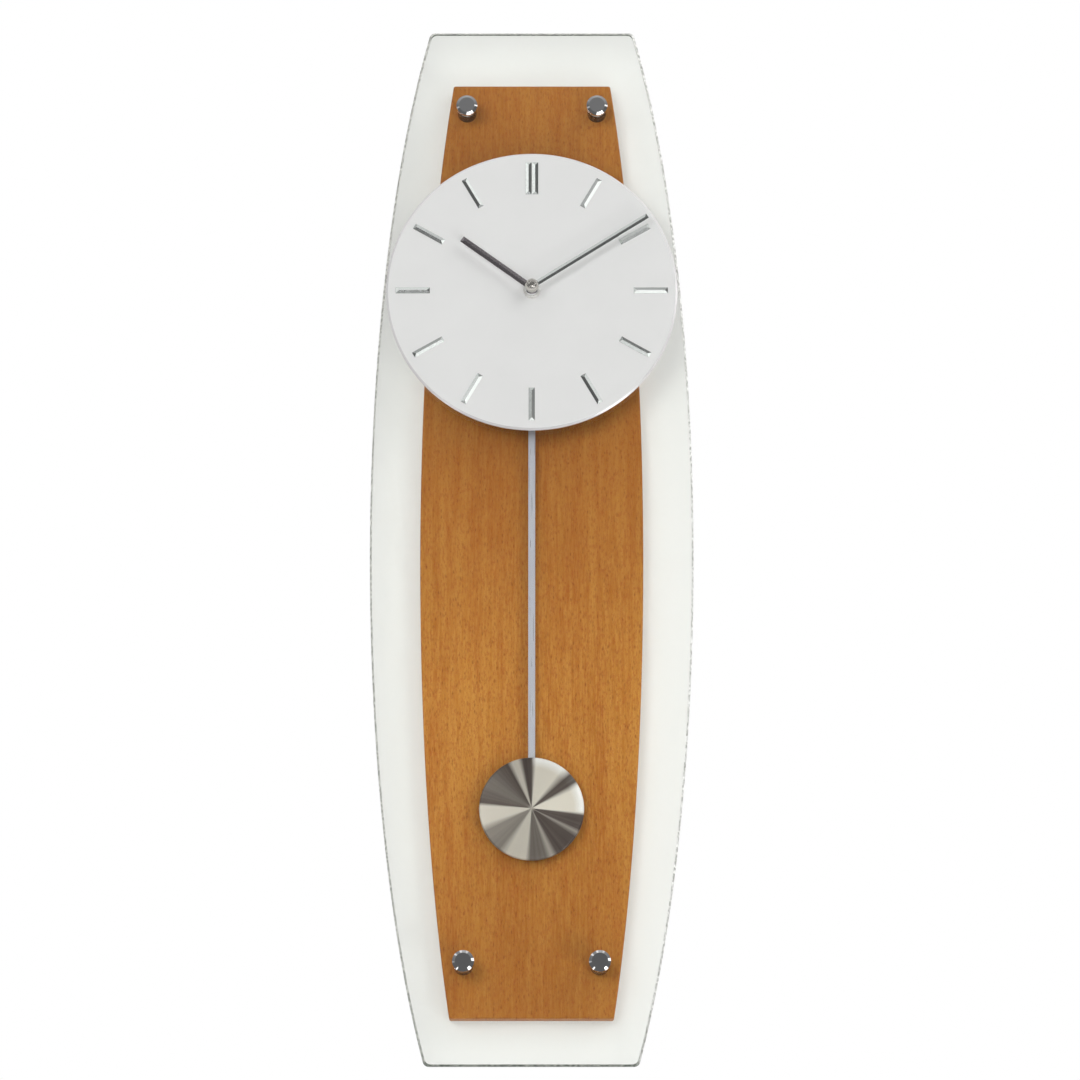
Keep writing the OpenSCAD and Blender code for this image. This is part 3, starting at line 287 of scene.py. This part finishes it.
def spun_steel():
    """The bob's cover: steel brushed in circles. The fans of light that such a face shows
    are drawn in its colour by their bearing, so they turn with the bob."""
    mat, make = new_material("spun_steel")
    here = make.place((1, 1, 1), (0, 0, -BOB_Z))
    left = make.maths("MULTIPLY", make.part(here, 0), -1.0)
    down = make.maths("MULTIPLY", make.part(here, 2), -1.0)
    radius = make.radius(BOB_Z)
    rings = make.noise_along(make.maths("MULTIPLY", radius, BRUSHED_RINGS_PER_METRE),
                             1.0, 3, 0.7)
    turn = make.maths("ARCTAN2", left, down)
    bearing = make.maths("MULTIPLY_ADD", turn, 180 / math.pi, 180.0)
    rays = make.noise_along(bearing, 0.16, 3, 0.6)
    bearing = make.maths("ADD", bearing, make.spread(rings, 0.3, 0.7, -0.8, 0.8))
    fans = make.spread(rays, 0.3, 0.7, 0.0, 0.08)
    for first, last, strength, soft_first, soft_last in FANS:
        opens = make.spread(bearing, first - soft_first, first + soft_first, 0.0, strength)
        stays = make.spread(bearing, last - soft_last, last + soft_last, 1.0, 0.0)
        fans = make.maths("ADD", fans, make.maths("MULTIPLY", opens, stays))
    off_middle = make.spread(radius, 0.0, 0.003)
    fans = make.maths("MULTIPLY_ADD", make.maths("SUBTRACT", fans, 0.5), off_middle, 0.5)
    tone = make.blend(fans, (0.062, 0.042, 0.036, 1), (0.74, 0.69, 0.60, 1))
    rim = make.maths("MULTIPLY", make.spread(radius, 0.027, 0.0325),
                     make.spread(bearing, 98, 92, 0.0, 1.0))
    tone = make.blend(make.maths("MULTIPLY", rim, fans), tone, (0.97, 0.97, 0.95, 1))
    fine = make.blend(rings, (0.88, 0.88, 0.88, 1), (1.0, 1.0, 1.0, 1))
    tangent = make.add("Tangent", direction_type="RADIAL", axis="Y")
    make.skin({
        "Base Color": make.blend(1.0, tone, fine, "MULTIPLY"),
        "Metallic": 0.5,
        "Roughness": 0.42,
        "Anisotropic": 0.8,
        "Anisotropic Rotation": 0.25,
        "Tangent": tangent.outputs[0],
        "Normal": make.bump(rings, 0.05, 0.00004)})
    return mat


def plastic(name, colour, rough, texture=0.12, scale=2200):
    """Moulded plastic with a fine spark-eroded texture."""
    mat, make = new_material(name)
    grain = make.noise(make.place(), scale, 2)
    cloud = make.noise(make.place(), 60, 2)
    paler = tuple(min(1, value * 1.12 + 0.004) for value in colour[:3]) + (1,)
    make.skin({
        "Base Color": make.blend(cloud, colour, paler),
        "Roughness": make.spread(grain, 0.3, 0.7, rough - 0.05, rough + 0.05),
        "Normal": make.bump(grain, texture, 0.00005)})
    return mat


def winding(name, axis):
    """Enamelled copper wire in close turns along an axis, or in rings round the drive
    coil's middle for no axis."""
    mat, make = new_material(name)
    here = make.place()
    along = make.radius(DRIVE_COIL_Z) if axis is None else make.part(here, axis)
    wire = make.maths("SINE", make.maths("MULTIPLY", along, 2 * math.pi / WIRE_PITCH))
    tone = make.noise(here, 300, 2)
    crown = make.spread(wire, -1.0, 1.0)
    make.skin({
        "Base Color": make.blend(crown, (0.20, 0.06, 0.025, 1), (0.70, 0.27, 0.10, 1)),
        "Metallic": 0.8,
        "Roughness": make.spread(tone, 0.3, 0.7, 0.22, 0.36),
        "Normal": make.bump(wire, 0.6, 0.00006)})
    return mat


def circuit_green():
    """Solder resist with paler traces and tinned spots."""
    mat, make = new_material("circuit_green")
    here = make.place()
    cells = make.add("TexVoronoi", {"Vector": here, "Scale": 420.0, "Randomness": 0.85},
                     feature="DISTANCE_TO_EDGE")
    trace = make.spread(cells.outputs["Distance"], 0.05, 0.09, 1.0, 0.0)
    spots = make.add("TexVoronoi", {"Vector": here, "Scale": 300.0, "Randomness": 0.6})
    spot = make.spread(spots.outputs["Distance"], 0.12, 0.16, 1.0, 0.0)
    cloud = make.noise(here, 90, 2)
    resist = make.blend(cloud, (0.012, 0.13, 0.05, 1), (0.02, 0.17, 0.07, 1))
    resist = make.blend(trace, resist, (0.04, 0.28, 0.11, 1))
    make.skin({
        "Base Color": make.blend(spot, resist, (0.62, 0.60, 0.55, 1)),
        "Metallic": make.maths("MULTIPLY", spot, 0.9),
        "Roughness": 0.28,
        "Normal": make.bump(make.maths("ADD", trace, spot), 0.4, 0.00005)})
    return mat


def cell_jacket():
    """Plain jacket in two tones with a thin line between them; the ends are bare steel."""
    mat, make = new_material("cell_jacket")
    across = make.part(make.place(), 0)
    haze = make.noise(make.place((0.2, 1, 1)), 900, 3)
    pale = make.spread(across, 0.0118, 0.0122)
    line = make.maths("MULTIPLY", make.spread(across, 0.0104, 0.0106),
                      make.spread(across, 0.0116, 0.0118, 1.0, 0.0))
    ends = make.spread(make.maths("ABSOLUTE", make.faces(0)), 0.6, 0.8)
    body = make.blend(pale, (0.045, 0.06, 0.10, 1), (0.55, 0.56, 0.58, 1))
    body = make.blend(line, body, (0.75, 0.76, 0.78, 1))
    body = make.blend(ends, body, (0.66, 0.65, 0.62, 1))
    make.skin({
        "Base Color": body,
        "Metallic": make.maths("MAXIMUM", make.maths("MULTIPLY", pale, 0.8), ends),
        "Roughness": make.spread(haze, 0.3, 0.7, 0.24, 0.34),
        "Normal": make.bump(haze, 0.06, 0.00003)})
    return mat


def felt():
    """Pressed felt: matted fibres in several greys."""
    mat, make = new_material("grey_felt")
    fibres = make.noise(make.place((1, 1, 0.25)), 2600, 4, 0.7, 2.0)
    tufts = make.noise(make.place(), 700, 3, 0.7)
    make.skin({
        "Base Color": make.blend(fibres, (0.15, 0.15, 0.16, 1), (0.42, 0.42, 0.43, 1)),
        "Roughness": 0.95,
        "Sheen Weight": 0.4,
        "Sheen Roughness": 0.5,
        "Normal": make.bump(make.maths("ADD", fibres, tufts), 0.9, 0.0003)})
    return mat


def cut_brass():
    """Brass turned and cut: fine rings of the tool on its faces."""
    mat, make = new_material("cut_brass")
    rings = make.noise_along(make.maths("MULTIPLY", make.radius(SHAFT_Z),
                                        TURNED_RINGS_PER_METRE), 1.0)
    make.skin({
        "Base Color": make.blend(rings, (0.62, 0.43, 0.16, 1), (0.80, 0.60, 0.27, 1)),
        "Metallic": 1.0,
        "Roughness": make.spread(rings, 0.3, 0.7, 0.2, 0.34),
        "Normal": make.bump(rings, 0.15, 0.00003)})
    return mat


def dress_all():
    """Gives every CAD node but the wall pads its material."""
    upright = (1, 1, 0.02)
    dress(clear_glass(), "glass_plate")
    dress(beech(), "wood_panel")
    dress(blasted_silver(), "dial")
    dress(metal("polished_chrome", (0.80, 0.80, 0.81, 1), 0.07, 0.03),
          "standoff_caps", "threaded_bush")
    dress(metal("smoked_nickel", (0.58, 0.56, 0.52, 1), 0.2, 0.04, metallic=0.88),
          "cap_nut")
    dress(metal("satin_nickel", (0.86, 0.85, 0.82, 1), 0.32, 0.06, metallic=0.45),
          "dial_nut")
    dress(metal("black_nickel", (0.10, 0.10, 0.11, 1), 0.12, 0.04), "standoff_barrels")
    dress(metal("polished_steel", (0.77, 0.80, 0.78, 1), 0.12, 0.04),
          "hour_markers", "minute_hand")
    dress(metal("dark_steel", (0.56, 0.52, 0.54, 1), 0.14, 0.04), "hour_hand")
    dress(metal("plain_steel", (0.55, 0.55, 0.56, 1), 0.36, 0.08, 700),
          "standoff_screws", "hanger_screws", "movement_screws", "minute_wheel_post",
          "pivot_pin", "minute_arbor")
    dress(metal("rolled_plate", (0.60, 0.60, 0.61, 1), 0.34, 0.1, 900, upright, 0.25),
          "hanger_plate")
    dress(plastic("soft_clear", (0.80, 0.82, 0.81, 1), 0.35), "glass_grommets")
    dress(plastic("black_rubber", (0.04, 0.04, 0.04, 1), 0.7), "glass_gasket")
    dress(plastic("white_nylon", (0.80, 0.79, 0.74, 1), 0.42), "dial_spacer",
          "hour_wheel", "minute_wheel", "third_wheel", "rotor", "pendulum_lever")
    dress(cut_brass(), "centre_wheel", "cannon_pinion")
    dress(plastic("black_plastic", (0.03, 0.03, 0.032, 1), 0.48, 0.3, 1500),
          "movement_case")
    dress(plastic("grey_plastic", (0.12, 0.12, 0.13, 1), 0.5, 0.3, 1500),
          "movement_cover")
    dress(plastic("bridge_plastic", (0.62, 0.58, 0.45, 1), 0.45), "gear_bridge")
    dress(metal("soft_iron", (0.42, 0.44, 0.46, 1), 0.4, 0.06, 800), "stator")
    dress(winding("wound_across", 0), "motor_coil", "antenna_winding")
    dress(winding("wound_round", None), "drive_coil")
    dress(circuit_green(), "circuit_board")
    dress(plastic("board_black", (0.03, 0.03, 0.03, 1), 0.3), "circuit_parts")
    dress(plastic("ferrite", (0.07, 0.07, 0.08, 1), 0.6, 0.3, 1500), "ferrite_rod",
          "rotor_magnet", "drive_magnet")
    dress(cell_jacket(), "battery")
    dress(metal("nickel_strip", (0.68, 0.66, 0.60, 1), 0.25, 0.05, 900),
          "battery_contacts")
    dress(metal("rod_steel", (0.56, 0.57, 0.62, 1), 0.34, 0.08, 1400, upright, 0.1,
                metallic=0.5), "pendulum_rod")
    dress(spun_steel(), "bob_cover")
    dress(metal("weight_steel", (0.35, 0.35, 0.36, 1), 0.4, 0.08, 700),
          "bob_weight", "bob_clip")
    dress(plastic("button_white", (0.82, 0.82, 0.81, 1), 0.28), "set_button",
          "receive_button", "reset_button")


# Felt pads

PAD_PLACES = [(-0.028, 0.042), (0.028, 0.042), (-0.028, -0.562), (0.028, -0.562)]
PAD_RADIUS = 0.0088
PAD_FRONT = -0.0015
PAD_STEPS = 72
PAD_FLUFF = 0.00012
PAD_FLUFF_SCALE = 900
# Rings of a pad from the middle of its front to the middle of its back: [share of its
# radius, share of its thickness]
PAD_RINGS = [
    [0.25, 0.0], [0.5, 0.0], [0.75, 0.0], [0.9, 0.01], [0.96, 0.06], [0.99, 0.2],
    [1.0, 0.4], [1.0, 0.65], [0.985, 0.85], [0.95, 0.96], [0.88, 1.0], [0.6, 1.0],
    [0.3, 1.0],
]


def felt_pads():
    """Four punched felt discs, with rounded rims and a fibrous surface, between the wood
    and the wall."""
    corners = []
    faces = []
    for across, up in PAD_PLACES:
        first = len(corners)
        for share, deep in PAD_RINGS:
            for step in range(PAD_STEPS):
                turn = 2 * math.pi * step / PAD_STEPS
                point = Vector((across + PAD_RADIUS * share * math.cos(turn),
                                PAD_FRONT * (1 - deep),
                                up + PAD_RADIUS * share * math.sin(turn)))
                fluff = noise.noise(point * PAD_FLUFF_SCALE) * PAD_FLUFF
                point.x += fluff * math.cos(turn)
                point.z += fluff * math.sin(turn)
                corners.append(point)
        for ring in range(len(PAD_RINGS) - 1):
            for step in range(PAD_STEPS):
                one = first + ring * PAD_STEPS + step
                two = first + ring * PAD_STEPS + (step + 1) % PAD_STEPS
                faces.append((one, two, two + PAD_STEPS, one + PAD_STEPS))
        last = first + (len(PAD_RINGS) - 1) * PAD_STEPS
        faces.append(tuple(reversed(range(first, first + PAD_STEPS))))
        faces.append(tuple(range(last, last + PAD_STEPS)))
    mesh = bpy.data.meshes.new("felt_discs")
    mesh.from_pydata(corners, [], faces)
    mesh.shade_smooth()
    mesh.materials.append(felt())
    pads = bpy.data.objects.new("felt_discs", mesh)
    bpy.context.scene.collection.objects.link(pads)
    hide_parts("wall_pads")
    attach(pads, "root")


# Stage, light and camera

def plane(name, corners, mat):
    """A flat piece of the stage, which isn't part of the clock."""
    mesh = bpy.data.meshes.new(name)
    mesh.from_pydata(corners, [], [(0, 1, 2, 3)])
    obj = bpy.data.objects.new(name, mesh)
    bpy.context.scene.collection.objects.link(obj)
    mesh.materials.append(mat)


def through_glass(make, path):
    """Is 1 for a ray that has come from the camera through glass alone."""
    bounced = make.maths("ADD", path.outputs["Diffuse Depth"], path.outputs["Glossy Depth"])
    return make.maths("MULTIPLY", path.outputs["Is Transmission Ray"],
                      make.maths("LESS_THAN", bounced, 0.5))


def mirrored(make, path):
    """Is 1 for a ray that has come straight from a shiny face."""
    return make.maths("MULTIPLY", path.outputs["Is Glossy Ray"],
                      path.outputs["Is Reflection Ray"])


def pale_backdrop(name, shade):
    """White where the camera sees it straight or metal mirrors it, and partly white through
    glass, where its shaded paint shows too. The paint is duller higher up. It lets lamps
    through, and it can't be seen from behind."""
    mat, make = new_material(name)
    path = make.add("LightPath")
    duller = tuple(value * 0.93 for value in shade[:3]) + (1,)
    up = make.part(make.place(), 2)
    paint = make.blend(make.spread(up, -0.35, 0.0), shade, duller)
    matt = make.add("BsdfDiffuse", {"Color": paint})
    white = make.add("Emission", {"Color": (1, 1, 1, 1), "Strength": 1.0})
    straight = make.maths("MAXIMUM", path.outputs["Is Camera Ray"], mirrored(make, path))
    in_glass = make.maths("MULTIPLY", through_glass(make, path), 0.3)
    seen = make.add("MixShader", {0: make.maths("MAXIMUM", straight, in_glass),
                                  1: matt.outputs[0], 2: white.outputs[0]})
    behind = make.add("NewGeometry").outputs["Backfacing"]
    through = make.maths("MAXIMUM", behind, path.outputs["Is Shadow Ray"])
    clear = make.add("BsdfTransparent")
    make.end(make.add("MixShader", {0: through, 1: seen.outputs[0],
                                    2: clear.outputs[0]}).outputs[0])
    return mat


def build_stage():
    """A wall just behind the clock and a floor well below it."""
    wide = STAGE_HALF_WIDTH
    plane("wall", [(-wide, WALL_Y, FLOOR_Z), (wide, WALL_Y, FLOOR_Z),
                   (wide, WALL_Y, WALL_TOP), (-wide, WALL_Y, WALL_TOP)],
          pale_backdrop("wall_paint", (0.85, 0.857, 0.825, 1)))
    plane("floor", [(-wide, -FLOOR_REACH, FLOOR_Z), (wide, -FLOOR_REACH, FLOOR_Z),
                    (wide, FLOOR_REACH, FLOOR_Z), (-wide, FLOOR_REACH, FLOOR_Z)],
          pale_backdrop("floor_paint", (0.85, 0.85, 0.84, 1)))


def lamp(name, place, aim, size, power):
    """A white rectangular lamp that isn't seen or mirrored."""
    data = bpy.data.lights.new(name, "AREA")
    data.shape = "RECTANGLE"
    data.size, data.size_y = size
    data.energy = power
    obj = bpy.data.objects.new(name, data)
    obj.location = place
    way = Vector(aim) - Vector(place)
    obj.rotation_euler = way.to_track_quat("-Z", "Y").to_euler()
    obj.visible_camera = False
    obj.visible_glossy = False
    bpy.context.scene.collection.objects.link(obj)


def build_lights():
    """Soft lamps that light the clock and cast its shadows. Shiny faces show the softboxes
    of the world instead."""
    lamp("key", (1.71, -1.33, 1.05), (0, 0, -0.2), (1.7, 1.7), 19.3)
    lamp("front_left", (-0.97, -2.40, 0.03), (0, 0, -0.25), (1.1, 1.1), 20)
    lamp("low_right", (1.18, -1.14, -1.50), (0, 0, -0.4), (0.35, 0.35), 5.6)
    lamp("top", (0, -0.9, 1.5), (0, 0, -0.1), (1.4, 0.6), 2)
    lamp("rear_left", (-1.2, 2.0, 0.8), (0, 0, -0.25), (1.0, 1.0), 16)
    lamp("rear_right", (1.4, 1.8, -0.4), (0, 0, -0.25), (0.8, 1.2), 8)


# Round softboxes: [degrees right of straight ahead, degrees up, half width, strength,
# softness of the edge]
SOFTBOXES = [
    # For the facets of the markers and hands
    [36, 0, 7, 1.2, 1], [19, -22, 6.2, 1.35, 0.6], [7, -25, 7.3, 1.2, 0.6],
    [-43, 27, 8.6, 1.15, 0.5], [-42, 11, 7, 0.33, 1], [42, 11, 7, 0.24, 1.2],
    [-9, 60, 5.2, 0.6, 0.8], [0, 66, 14, 0.2, 5], [-21, 56, 4.2, 0.6, 1],
    [21, 57, 4.8, 0.7, 1], [-37, 42.5, 4.6, 0.45, 1], [36, 44, 6.3, 1.15, 1],
    [-20, 42, 7, 0.6, 1], [43, 33, 5.6, 0.8, 1], [-43.5, 33, 5.2, 0.65, 1],
    [-33, 50, 4, 0.37, 1], [-16.5, -20.5, 6, 1.0, 0.6], [25, -12.5, 4, 0.27, 1],
    # For the caps of the standoffs and the cap nut
    [0, 29, 9.5, 0.09, 2.5], [45, -32, 9, 2.5, 1],
    [-44, -33, 4, 1.8, 1], [64, 18, 7, 1.6, 1], [-57, 44, 5, 0.8, 1.5],
    [-30, 67, 5, 0.6, 1.5], [40, 63, 5, 0.5, 1.5], [-58, 6, 5, 0.4, 1.5],
    [5, -34, 9, 2.2, 1], [20, -33, 9, 2.2, 1],
]


def towards(across, up):
    """A direction, from degrees right of straight ahead and degrees up."""
    across = math.radians(across)
    up = math.radians(up)
    return (math.sin(across) * math.cos(up), -math.cos(across) * math.cos(up),
            math.sin(up))


def build_world():
    """A dim room in front of the clock, white behind it, with softboxes."""
    world = bpy.data.worlds.new("studio")
    bpy.context.scene.world = world
    world.use_nodes = True
    make = Maker(world.node_tree)
    way = make.add("TexCoord").outputs["Generated"]
    glow = make.spread(make.part(way, 1), -0.5, 0.6, 0.12, 1.0)
    for across, up, half, strength, soft in SOFTBOXES:
        near = make.add("VectorMath", {0: way, 1: towards(across, up)},
                        operation="DOT_PRODUCT").outputs["Value"]
        box = make.spread(near, math.cos(math.radians(half + soft)),
                          math.cos(math.radians(half - soft)), 0.0, strength)
        glow = make.maths("ADD", glow, box)
    light = make.add("CombineColor", {0: glow, 1: glow, 2: glow}).outputs[0]
    path = make.add("LightPath")
    straight = make.maths("MAXIMUM", path.outputs["Is Camera Ray"],
                          through_glass(make, path))
    sky = make.add("Background", {"Color": make.blend(straight, light, (1, 1, 1, 1)),
                                  "Strength": 1.0})
    make.add("OutputWorld", {"Surface": sky.outputs[0]})


def build_camera():
    data = bpy.data.cameras.new("camera")
    data.lens = CAMERA_LENS
    data.sensor_fit = "HORIZONTAL"
    data.sensor_width = SENSOR
    data.clip_start = 0.01
    data.clip_end = 50
    camera = bpy.data.objects.new("camera", data)
    camera.location = CAMERA_PLACE
    camera.rotation_euler = (math.radians(90 + CAMERA_RISE), 0, 0)
    bpy.context.scene.collection.objects.link(camera)
    bpy.context.scene.camera = camera


build_camera()
build_stage()
build_lights()
build_world()
dress_all()
felt_pads()
bpy.context.scene.view_settings.view_transform = "Standard"

bpy.context.view_layer.update()
